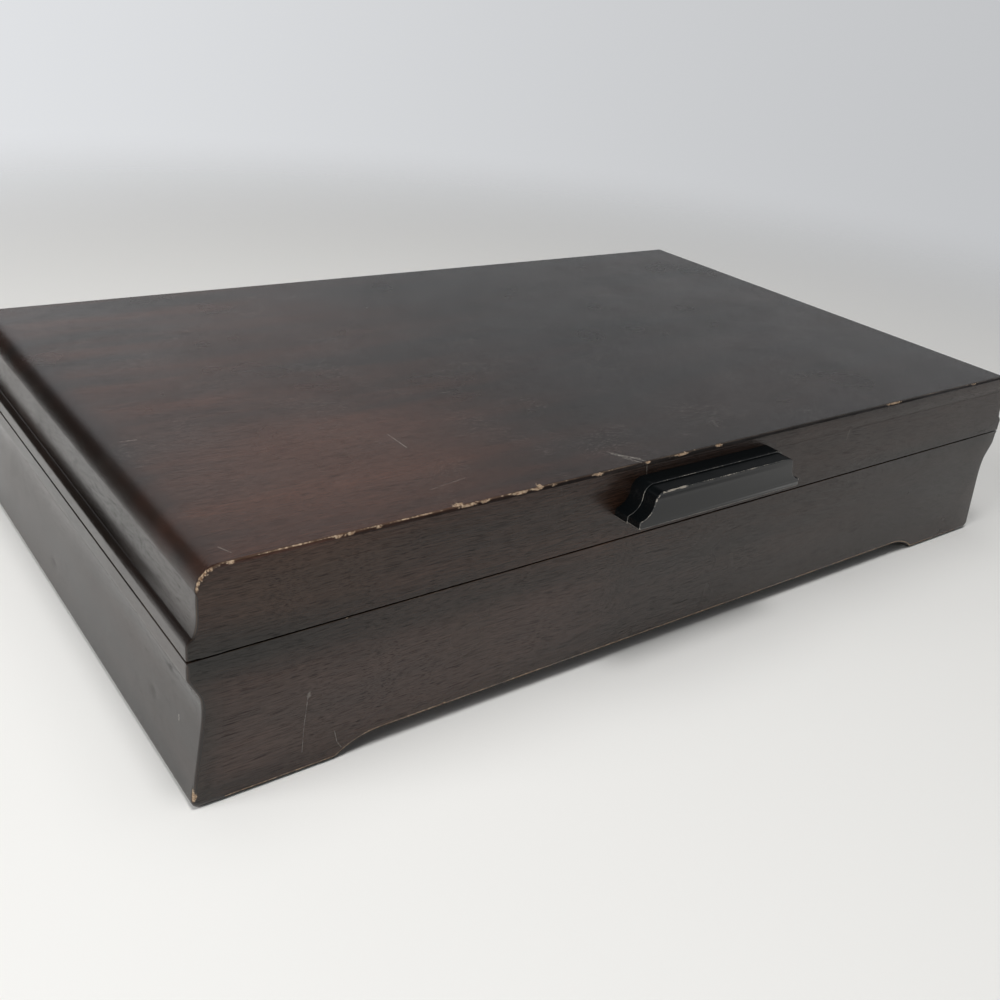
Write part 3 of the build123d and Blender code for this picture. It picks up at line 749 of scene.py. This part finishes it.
def buildEnd(body, outline, look):
    # the moulded outline from front to back, and the same mirrored for the left end
    across, up = outline[:, 0], outline[:, 1]
    # the front corner is rounded on the outside, less so at the parting line, and square where
    # boards meet; an inset stays below the round of the outline's own corners
    square, most = endCorner["square"] * look["inner"], endCorner["most"] * look["arris"]
    out = np.clip((across - innerX - endCorner["from"]) / endCorner["over"], 0, 1)
    radii = square + (look["corner"] - square) * out
    fromParting = baseTop - up if body == "base" else up - lidBottom
    grown = most + endCorner["growth"] * (fromParting - look["arris"])
    radii = np.minimum(radii, np.maximum(grown, square))
    radii = np.where(fromParting < look["arris"], np.minimum(radii, most * out + square), radii)
    if body == "lid":
        radii = np.minimum(radii, np.maximum((topUnder - up) / 2, square))
    p = endPlaces
    even = np.arange(p["first"], chestDepth - p["last"], p["step"])
    inner = np.concatenate([[p["rim"]], even, [chestDepth - p["rim"]]]) + frontY
    stations = stationsBetween(frontY, backY, look.get("frontFoot", look["corner"]), inner, 10)
    rings, edge = carried(outline, stations, radii, "y", np.minimum(radii, look["arris"]))
    if body == "base":
        # the lower front edge is a quarter round as on the board between the ends: the lift
        # r - sqrt(r^2 - (r - d)^2) at a distance d from the face fades out a little above the foot
        r = look["frontFoot"]
        d = np.clip(rings[..., 1] - frontY, 0, r)
        rise = r - np.sqrt(r * r - (r - d) ** 2)
        rings[..., 2] += rise * np.clip(1 - rings[..., 2] / look["footFade"], 0, 1) ** 2
        edge = np.maximum(edge, (rings[..., 2] < r + 0.1) * 2 * (1 - d / r) * (d / r))
    for side, mirrored in (("left", -1), ("right", 1)):
        own = rings * np.array([mirrored, 1, 1])
        node = f"{body}_{side}_end"
        rub = endWear["share"] * edge**endWear["power"]
        rub = rub * uneven(own, *endWear["uneven"], len(side + body), 2)
        # painted shade in the crease above the bead of the lid and under the foot of the base
        fromShade = np.abs(own[..., 2] - look["shadeAt"]) / look["shadeReach"]
        dirtAndShade = look["shadeShare"] * np.clip(1.3 - fromShade, 0, 1)
        own, worn = chipped(own, np.clip(rub, 0, 1), endMarks.get(node, []), dirtAndShade)
        own[0, :, 1] = frontY
        solid(node + "_board", own, woodEnd, body, node, worn, woodFront)


buildEnd("base", baseEndOutline(baseEnd), baseEnd)
buildEnd("lid", lidEndOutline(lidEnd), lidEnd)
print("ends built")

# Front boards

arch = {"fromLip": 50.8, "height": 5.9, "run": 17.5, "mid": (5.6, 3.3)}
frontBoard = {
    "arris": 0.25, "footRound": 2.0, "end": 0.03, "step": 1.2,
    # there is no lift by the arch from fadeTop up, and the whole of it fadeHeight below that
    "fadeTop": 34.0, "fadeHeight": 30.0,
    # rubbed line on the lower round: its height as a share of the round, its half width, and how it
    # comes and goes, as uneven takes it
    "lineAt": 0.8, "lineHalf": 0.3, "lineUneven": (0.85, 0.4, 31.0, 3, 4),
    # the last share is how dark the painted shade on the lower round is
    "rub": 0.3, "lidUneven": (0.2, 0.5, 27.0, 5, 3), "shadeShare": 0.9,
    # small chips over the arch: place across and up, half length
    "chips": ((-158, 3.0, 1.6), (-146, 6.4, 1.2), (-122, 7.6, 1.0), (97, 7.4, 1.0)),
}


def archHeight(x):
    # circle through the foot, the middle point and the start of the flat part, with its centre below
    # them, and level between the curves
    foot = lipX - arch["fromLip"]
    a = np.array((foot, 0.0))
    b, c = a + (-arch["mid"][0], arch["mid"][1]), a + (-arch["run"], arch["height"])
    centre = np.linalg.solve(2 * np.array([b - a, c - a]), [b @ b - a @ a, c @ c - a @ a])
    radius = np.hypot(*(centre - a))
    u = np.clip(np.abs(x), foot - arch["run"], foot)
    rise = centre[1] + np.sqrt(np.maximum(radius**2 - (u - centre[0])**2, 0))
    return np.where(np.abs(x) >= foot, 0.0, np.clip(rise, 0, arch["height"]))


def buildFrontBoards():
    # rounded boxes carried along the chest. The lower one is lifted at its foot by the arch
    s = frontBoard
    foot = lipX - arch["fromLip"]
    bends = [np.linspace(side * (foot - arch["run"] - 1), side * (foot + 1), 60) for side in (-1, 1)]
    inner = np.concatenate([np.arange(-innerX + 1, innerX, s["step"]), *bends])
    stations = stationsBetween(-innerX, innerX, s["end"], np.unique(np.round(inner, 2)))
    a, r = s["arris"], s["footRound"]
    outline = roundedBox((frontY, 0), (innerFrontY, baseTop), (r, 0.3, 0.3, a))
    rings, edge = carried(outline, stations, s["end"], "x")
    fade = np.clip((s["fadeTop"] - rings[..., 2]) / s["fadeHeight"], 0, 1)
    rings[..., 2] += archHeight(rings[..., 0]) * fade * fade * (3 - 2 * fade)
    # the lacquer is rubbed through in a thin line at the top of the lower round, with painted shade
    # under it
    above = rings[..., 2] - archHeight(rings[..., 0])
    inFront = rings[..., 1] < frontY + r
    line = np.exp(-((above - s["lineAt"] * r) / s["lineHalf"]) ** 2) * inFront
    bare = np.where(above > r + 0.5, s["rub"] * edge**3, line)
    bare = bare * uneven(rings * alongX, *s["lineUneven"])
    dirtAndShade = s["shadeShare"] * np.clip((0.7 * r - above) / 0.4, 0, 1) * inFront
    marks = [((x, frontY + 0.3, z), (half, 0.8, 0.7), (0, 0.2, 0.15), 0.7, 0)
             for x, z, half in s["chips"]]
    rings, worn = chipped(rings, np.clip(bare, 0, 1), marks, dirtAndShade)
    solid("base_front_face_board", rings, woodFront, "base", "base_front_board", worn)

    outline = roundedBox((frontY, lidBottom), (innerFrontY, topUnder), (a, 0.3, 0.1, 0.1))
    rings, edge = carried(outline, stations, s["end"], "x")
    bare = np.clip(s["rub"] * edge**3 * uneven(rings * alongX, *s["lidUneven"]), 0, 1)
    worn = (bare, 0 * bare)
    solid("lid_front_face_board", rings, woodFront, "lid", "lid_front_board", worn)


buildFrontBoards()
print("front boards built")

# Top board

topBoard = {
    "endRound": 8.0, "arris": 1.2, "step": 0.62, "backRub": 0.35,
    # bare chips on the front arris: place along it, half length, depth and how bare
    "chips": [(-210.0, 2.2, 0.35, 0.9), (-202.0, 1.6, 0.3, 0.9), (-167.0, 2.0, 0.3, 0.9),
              (-163.0, 1.5, 0.35, 1.0), (-152.8, 1.2, 0.2, 0.8), (-118.5, 4.2, 0.5, 0.9),
              (-112.0, 1.8, 0.5, 0.9), (-97.0, 3.4, 0.6, 1.0), (-89.5, 2.6, 0.5, 1.0),
              (-82.0, 1.4, 0.2, 0.7), (-61.5, 2.8, 0.6, 1.0), (-37.0, 1.5, 0.5, 1.0),
              (-19.0, 4.2, 0.6, 1.0), (1.3, 1.8, 0.5, 1.0), (116.0, 5.5, 0.4, 0.9),
              (179.9, 2.0, 0.2, 0.6)],
    # scuffs beside them on the top: place along it and half length
    "scuffs": [(-122.0, 2.6), (-88.0, 1.2)],
    # the worn corner runs down the quarter round: places across and up
    "corner": [(-212.9, 81.6), (-212.4, 83.2), (-211.5, 84.6), (-210.2, 86.0), (-208.4, 87.0)],
    # how worn the front arris is between the chips: place along it and share
    "rub": [(-213, 1.0), (-200, 0.95), (-165, 0.85), (-120, 0.8), (-88, 0.7), (-60, 0.5),
            (-40, 0.35), (0, 0.3), (60, 0.2), (130, 0.3), (213, 0.4)],
    "rubUneven": (0.62, 0.4, 19.0, 8, 4), "shadeUneven": (0.8, 0.25, 33.0, 9, 3),
    # where wear and painted shade lie on the front arris, as its lift: see buildTop
    "lineAt": 0.9, "lineHalf": 0.12, "shadeTop": 0.82, "shadeEdge": 0.16,
    # the painted shade sets in along the chest from here, over this length
    "shadeFrom": -172, "shadeRun": 14,
}


def topMarks():
    # a chip sits on the middle of the arris and is pushed in and down by half its depth
    s = topBoard
    marks = [((x, frontY + 0.35, chestTop - 0.35), (half, 0.55, 0.4 + 0.35 * deep),
              (0, 0.5 * deep, -0.5 * deep), share, 0) for x, half, deep, share in s["chips"]]
    marks += [((x, frontY + 1.7, chestTop), (half, 1.2, 0.5), (0, 0, -0.1), 0.75, 0)
              for x, half in s["scuffs"]]
    marks += [((x, frontY + 0.35, z), (1.0, 0.65, 1.0), (0.1, 0.2, -0.1), 0.8, 0) for x, z in s["corner"]]
    return marks


def buildTop():
    # flat, with a quarter round down to each end, carried from front to back
    s = topBoard
    shoulder = wallX - s["endRound"]
    count = int(2 * shoulder / s["step"])
    level = np.linspace(shoulder, -shoulder, count, endpoint=False)
    outline = np.vstack([
        straight((-wallX, topUnder), (wallX, topUnder), 2 * wallX),
        arc((wallX, topUnder), (0, 1), (shoulder, chestTop), 24),
        np.column_stack([level, np.full(count, chestTop), 0 * level]),
        arc((-shoulder, chestTop), (-1, 0), (-wallX, topUnder), 24),
    ])
    # close to the front arris the places are dense enough to hold the scuffs
    inner = np.concatenate([[1.5, 1.8, 2.2, 2.7, 3.4, 4.4, 5.8],
                            np.linspace(7.5, chestDepth - 5, 34),
                            [chestDepth - 2.5, chestDepth - 1.6]])
    stations = stationsBetween(frontY, backY, s["arris"], frontY + inner)
    # no arris on the underside, which lies on the boards below, except at its two ends
    rounded = (outline[:, 1] > topUnder + 0.05) | (np.abs(np.abs(outline[:, 0]) - wallX) < 1e-6)
    rings, edge = carried(outline, stations, np.where(rounded, s["arris"], 0.01), "y")
    inFront = rings[..., 1] < 0
    places, shares = np.array(s["rub"]).T
    rub = np.where(inFront, np.interp(rings[..., 0], places, shares), s["backRub"])
    # in front, the wear is on the upper half of the arris, and painted shade on the lower half except
    # near the left end. lift is 0 on the front face and rises to 1 on the top
    lift = np.clip((rings[..., 2] - chestTop) / s["arris"] + 1, 0, 1)
    arris = inFront & (np.abs(rings[..., 0]) < shoulder)
    onUpper = np.exp(-((lift - s["lineAt"]) / s["lineHalf"]) ** 2) * np.clip(3 * edge, 0, 1)
    line = np.where(arris, onUpper, edge**4)
    bare = np.clip(line * rub * uneven(rings * alongX, *s["rubUneven"]), 0, 1)
    shaded = np.clip((rings[..., 0] - s["shadeFrom"]) / s["shadeRun"], 0, 1)
    shaded = shaded * uneven(rings * alongX, *s["shadeUneven"])
    under = np.clip((s["shadeTop"] - lift) / s["shadeEdge"], 0, 1)
    dirtAndShade = np.clip(shaded * under, 0, 1) * arris
    rings, worn = chipped(rings, bare, topMarks(), dirtAndShade)
    worn[1] *= 1 - worn[0]  # no painted shade where the wood is bare
    solid("lid_top_panel", rings, woodTop, "lid", "lid_top_board", worn, woodFront)


buildTop()
print("top built")

# Pull

pull = {
    "foot": 3.3, "coveIn": 6.2, "coveTop": 10.0, "step": 0.6, "backDepth": 7.0,
    "arris": 0.5, "backArris": 0.25, "rub": 0.4, "heldRub": 0.62, "uneven": (0.25, 9.0, 21, 3),
    # flecks along the arris of the left shoulder, and a few more: place across from the middle and
    # up from the bottom, size, and how bare
    "flecks": [(-38.9, 9.0, 0.7, 0.8), (-37.8, 10.8, 0.9, 0.9), (-36.4, 12.1, 1.0, 1.0),
               (-34.6, 13.2, 1.1, 0.9), (-31.4, 13.8, 1.2, 0.9), (-28.3, 13.8, 0.8, 0.8),
               (-25.2, 13.8, 1.1, 0.9), (-21.0, 13.8, 0.9, 0.8), (-8.0, 13.8, 0.7, 0.7),
               (33.4, 13.8, 1.0, 0.8), (43.9, 2.0, 1.0, 0.9), (-42.0, 5.2, 0.7, 0.7)],
}


def pullOutline(centre, halfWidth, low, height, inset, corner):
    # half of it: flat bottom, upright foot, cove and round shoulder; the other half is mirrored
    end, top = halfWidth - inset, height - inset
    neck, shoulder = end - pull["coveIn"], top - pull["coveTop"]
    coveTop = (neck, pull["coveTop"])
    half = np.vstack([
        straight((0, 0), (end - corner, 0), 3.0),
        roundedCorner((0, 0), (end, 0), (end, pull["foot"]), corner, 4),
        straight((end, corner), (end, pull["foot"] - 0.1), 1.0),
        arc(coveTop, (0, -1), (end, pull["foot"]), 14)[::-1],
        arc(coveTop, (0, 1), (neck - shoulder, top), 10)[1:],
        straight((neck - shoulder, top), (0, top), 3.0),
    ])
    other = half[::-1] * (-1, 1, 1)
    whole = np.vstack([half, other[:-1]])
    keep = np.ones(len(whole), bool)
    keep[1:] = np.hypot(*np.diff(whole[:, :2], axis=0).T) > 1e-4
    return whole[keep] + (centre, low, 0)


def buildPull():
    # the outline carried from front to back twice, in front of the step smaller by it
    low, high = cadBox("lid_pull")
    centre, halfWidth = (low[0] + high[0]) / 2, (high[0] - low[0]) / 2
    stepY = frontY - pull["backDepth"]
    flecks = [((centre + x, low[1], low[2] + z), (size, 0.6, 0.75 * size), (0, 0.2, -0.1), share, 0)
              for x, z, size, share in pull["flecks"]]
    for name, start, end, inset, arris, marks in (
            ("back", stepY, frontY, 0.0, pull["backArris"], []),
            ("front", low[1], stepY, pull["step"], pull["arris"], flecks)):
        outline = pullOutline(centre, halfWidth, low[2], high[2] - low[2], inset, 1.1 * arris)
        inner = np.linspace(start + arris + 0.3, end - arris - 0.3, 8)
        # the arris is only in front, and the far side stays square
        stations = stationsBetween(start, end, arris, inner)
        rings, edge = carried(outline, stations, arris, "y", 0.01)
        # rubbed most along the lower edge and the foot of the right end, where fingers lift it
        held = (rings[..., 2] < low[2] + 0.8) | (rings[..., 0] > high[0] - 1.6)
        rub = uneven(rings, np.where(held, pull["heldRub"], pull["rub"]), *pull["uneven"])
        rings, worn = chipped(rings, np.clip(edge * rub, 0, 1), marks)
        # the front face itself stays flat
        rings[0, :, 1] = start
        solid("lid_pull_" + name, rings, lacquer, "lid", "lid_pull", worn)


buildPull()
print("pull built")

# Lining, divider and racks, covered in flannel

cloth = {"arris": 1.2, "liningArris": 0.5, "inset": 0.9}
rackShape = {
    "front_rack": {"gap": 28.0, "depth": 21.0, "shoulder": 5.0, "count": 6},
    "rear_rack": {"gap": 18.0, "depth": 17.0, "shoulder": 5.0, "count": 6},
    "knife_rack": {"gap": 3.4, "depth": 12.0, "shoulder": 2.2, "count": 12, "pitch": 24.0},
    "tip_rack": {"gap": 3.4, "depth": 9.0, "shoulder": 2.2, "count": 12, "pitch": 24.0},
}


def notchedOutline(start, end, shape, height):
    # along the floor, up the far end, and back along the top through every round bottomed notch
    length = end - start
    pitch = shape.get("pitch", length / shape["count"])
    places = np.arange(shape["count"]) - (shape["count"] - 1) / 2
    half, shoulder = shape["gap"] / 2, shape["shoulder"]
    bend, mouthFoot = height - shape["depth"] + half, height - shoulder
    rim = 1.2 * cloth["arris"]
    pieces = [straight((start, 0), (end, 0), 8.0, rim), straight((end, 0), (end, height), 3.0, rim)]
    last = (end, height)
    for centre in ((start + end) / 2 + pitch * places)[::-1]:
        left, right = centre - half, centre + half
        mouth = (right + shoulder, height)
        pieces += [straight(last, mouth, 2.0, rim), arc(mouth, (-1, 0), (right, mouthFoot), 8),
                   straight((right, mouthFoot), (right, bend), 2.0),
                   arc((right, bend), (0, -1), (left, bend), 16 if half > 4 else 8),
                   straight((left, bend), (left, mouthFoot), 2.0),
                   arc((left, mouthFoot), (0, 1), (left - shoulder, height), 8)]
        last = (left - shoulder, height)
    pieces += [straight(last, (start, height), 2.0, rim), straight((start, height), (start, 0), 3.0, rim)]
    return np.vstack(pieces)


def buildRacks():
    # the notched outline carried from front to back
    arris = cloth["arris"]
    for node, shape in rackShape.items():
        low, high = cadBox(node)
        body = "lid" if node in ("knife_rack", "tip_rack") else "base"
        outline = notchedOutline(low[0], high[0], shape, high[2] - low[2])
        if body == "base":
            outline[:, 1] += low[2]
        else:
            # hangs from the lid, which turns the outline round
            outline[:, 1] = high[2] - outline[:, 1]
            outline = outline[::-1]
        inner = np.linspace(low[1] + arris + 0.4, high[1] - arris - 0.4, 5)
        stations = stationsBetween(low[1], high[1], arris, inner)
        rings, _ = carried(outline, stations, cloth["inset"] * arris, "y")
        solid(node + "_cover", rings, lining, body, node)


def buildLinings():
    # each sheet is a rounded box, carried along its length or from front to back
    linings = [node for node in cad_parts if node.endswith("_lining")]
    for node in sorted(linings + ["serving_divider"]):
        low, high = cadBox(node)
        size = high - low
        arris = min(cloth["liningArris"], size.min() * 0.45)
        lengthways = node.endswith(("floor_lining", "top_lining")) or size[0] > size[1]
        run, axis, section = (0, "x", [1, 2]) if lengthways else (1, "y", [0, 2])
        outline = roundedBox(low[section], high[section], [arris] * 4, 6.0, worn=False)
        inner = np.linspace(low[run] + 1, high[run] - 1, 40)
        stations = stationsBetween(low[run], high[run], arris, inner)
        rings, _ = carried(outline, stations, cloth["inset"] * arris, axis)
        body = "lid" if node.startswith("lid_") else "base"
        rackSlot = node == "serving_divider"
        name, slot = (node + "_cover", "flannel_rack") if rackSlot else (node + "_cloth", "flannel")
        solid(name, rings, lining, body, node)


buildRacks()
buildLinings()
print("inside built")

# Pieces whose pockets and holes come from the CAD: softened by this much, in millimetres

edges = {"baseBack": 0.4, "lidBack": 0.35, "panel": 0.2, "leaf": 0.18}
softened("base_back_face_board", "base_back_board", woodAlongX, "base", edges["baseBack"])
softened("lid_back_face_board", "lid_back_board", woodAlongX, "lid", edges["lidBack"])
softened("base_bottom_panel", "bottom_panel", panelWood, "base", edges["panel"])
for side in ("left", "right"):
    for body in ("base", "lid"):
        node = f"{side}_hinge_{body}_leaf"
        softened(node + "_plate", node, brass, body, edges["leaf"])
for node, material in (("base_hinge_screws", brass), ("lid_hinge_screws", brass),
                       ("pull_screws", steel), ("left_hinge_pin", brass),
                       ("right_hinge_pin", brass)):
    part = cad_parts[node]
    part.data.materials.clear()
    part.data.materials.append(material)
print("hinges dressed")

# Stage, light and camera

stage = {"floorRadius": 3.0, "fadeFrom": 0.4, "fadeTo": 1.1, "floor": "#efeeeb"}
screen = {"low": (-290, 30, 0), "high": (-290, 900, 260), "colour": "#424345"}
around = {
    # brightness of the surroundings by the sideways or upward part of the direction: from, to, and
    # the value at each. below and above are on either side of the horizon, lit is the room to the
    # left, which is dark, and backdrop is what the camera sees
    "below": (0.0, 0.8, 0.74, 0.60), "above": (0.0, 0.55, 1.0, 0.43),
    "backdrop": (0.2, 0.9, 0.79, 0.56), "lit": (-0.3, 0.1, 0.26, 1.0),
    "horizon": (-0.05, 0.15, 0.0, 1.0), "ceiling": (0.5, 0.85, 0.0, 1.0),
    "overhead": 0.05, "onRough": 0.4, "colour": "#fafcff",
}
lights = {
    "key": {"place": (-0.2, -0.34, 1.4), "size": 0.4, "power": 7.3},
    "overhead": {"place": (-0.1, -0.1, 1.4), "size": 1.2, "power": 5.8},
    "left": {"place": (-1.3, -0.1, 0.75), "size": 1.0, "power": 12.5},
}
# place and target in millimetres, roll in degrees, focal length in pixels of a picture 1000 wide
view = {"place": (-311.69, -378.07, 251.35), "target": (-105.84, -121.87, 87.0), "roll": 6.209,
        "focal": 1087.07, "picture": 1000, "sensor": 36.0}


def stagePiece(name, corners, material):
    # one flat face that belongs to the stage and not to the part
    mesh = bpy.data.meshes.new(name)
    mesh.from_pydata(corners, [], [list(range(len(corners)))])
    mesh.materials.append(material)
    piece = bpy.data.objects.new(name, mesh)
    bpy.context.scene.collection.objects.link(piece)
    return piece


def buildFloor():
    # a round floor that fades out into the surroundings, so that no horizon shows
    material, add, place = newMaterial("pale floor")
    reach = add("VectorMath", {0: place}, "Value", operation="LENGTH")
    fade = add("MapRange", {0: reach, 1: stage["fadeFrom"] / mm, 2: stage["fadeTo"] / mm},
               interpolation_type="SMOOTHSTEP")
    paint = add("BsdfDiffuse", {"Color": linear(stage["floor"])})
    mixed = add("MixShader", {0: fade, 1: paint, 2: add("BsdfTransparent")})
    add("OutputMaterial", {"Surface": mixed})
    turn = np.linspace(0, 2 * np.pi, 96, endpoint=False)
    rim = np.column_stack([np.cos(turn), np.sin(turn), 0 * turn]) * stage["floorRadius"]
    stagePiece("floor", rim.tolist(), material)


def buildScreen():
    # a dark screen beyond the left end, seen only in reflections: a painted dark reflection that
    # draws the mouldings
    (x, y0, z0), (_, y1, z1) = ([float(mm * v) for v in screen[key]] for key in ("low", "high"))
    material, add, _ = newMaterial("dark screen")
    paint = add("BsdfDiffuse", {"Color": linear(screen["colour"])})
    add("OutputMaterial", {"Surface": paint})
    corners = [(x, y0, z0), (x, y1, z0), (x, y1, z1), (x, y0, z1)]
    piece = stagePiece("screen", corners, material)
    piece.visible_camera = piece.visible_diffuse = False
    piece.visible_shadow = piece.visible_transmission = False


def buildSurroundings():
    # brightness by direction: less to the right, dark far to the left and overhead
    world = bpy.data.worlds.new("studio")
    bpy.context.scene.world = world
    world.use_nodes = True
    world.node_tree.nodes.clear()
    add = partial(addNode, world.node_tree)
    way = add("TexCoord", out="Generated")
    sideways, up = (add("SeparateXYZ", {0: way}, k) for k in (0, 2))
    level = {}
    for key, part, kind in (("below", sideways, "LINEAR"), ("above", sideways, "LINEAR"),
                            ("backdrop", sideways, "LINEAR"), ("lit", sideways, "SMOOTHSTEP"),
                            ("horizon", up, "SMOOTHSTEP"), ("ceiling", up, "SMOOTHSTEP")):
        start, end, first, last = around[key]
        level[key] = add("MapRange", {0: part, 1: start, 2: end, 3: first, 4: last},
                         interpolation_type=kind)
    above = add("Math", {0: level["above"], 1: level["lit"]}, operation="MULTIPLY")
    bright = add("Mix", {0: level["horizon"], 2: level["below"], 3: above})
    bright = add("Mix", {0: level["ceiling"], 2: bright, 3: around["overhead"]})
    # rough surfaces take less of it, so that the gap under the arch stays dark
    rough = add("LightPath", out="Is Diffuse Ray")
    rough = add("MapRange", {0: rough, 3: 1.0, 4: around["onRough"]})
    bright = add("Math", {0: bright, 1: rough}, operation="MULTIPLY")
    # seen directly, it is a plain backdrop, a little darker to the right
    seen = add("LightPath", out="Is Camera Ray")
    bright = add("Mix", {0: seen, 2: bright, 3: level["backdrop"]})
    sky = add("Background", {"Color": linear(around["colour"]), "Strength": bright})
    add("OutputWorld", {"Surface": sky})


def buildLamps():
    # discs that look at the origin, below the middle of the chest
    for name, look in lights.items():
        lamp = bpy.data.lights.new(name, "AREA")
        lamp.energy, lamp.shape, lamp.size = look["power"], "DISK", look["size"]
        place = bpy.data.objects.new(name, lamp)
        place.location = look["place"]
        place.rotation_euler = (-Vector(look["place"])).to_track_quat("-Z", "Y").to_euler()
        # the dark room overhead is what the lacquer mirrors, not the lamps
        place.visible_glossy = False
        bpy.context.scene.collection.objects.link(place)


def buildCamera():
    # looks from place to target, turned about that line by the roll
    place, target = Vector(view["place"]) * mm, Vector(view["target"]) * mm
    ahead = (target - place).normalized()
    right = ahead.cross(Vector((0, 0, 1))).normalized()
    up = right.cross(ahead)
    c, s = np.cos(np.radians(view["roll"])), np.sin(np.radians(view["roll"]))
    right, up = c * right + s * up, c * up - s * right
    lens = bpy.data.cameras.new("camera")
    lens.sensor_width = view["sensor"]
    lens.lens = lens.sensor_width * view["focal"] / view["picture"]
    lens.clip_start = 0.01
    camera = bpy.data.objects.new("camera", lens)
    turned = Matrix((right, up, -ahead)).transposed().to_4x4()
    camera.matrix_world = Matrix.Translation(place) @ turned
    bpy.context.scene.collection.objects.link(camera)
    bpy.context.scene.camera = camera


buildFloor()
buildScreen()
buildSurroundings()
buildLamps()
buildCamera()
bpy.context.scene.view_settings.view_transform = "Standard"
print("stage set")
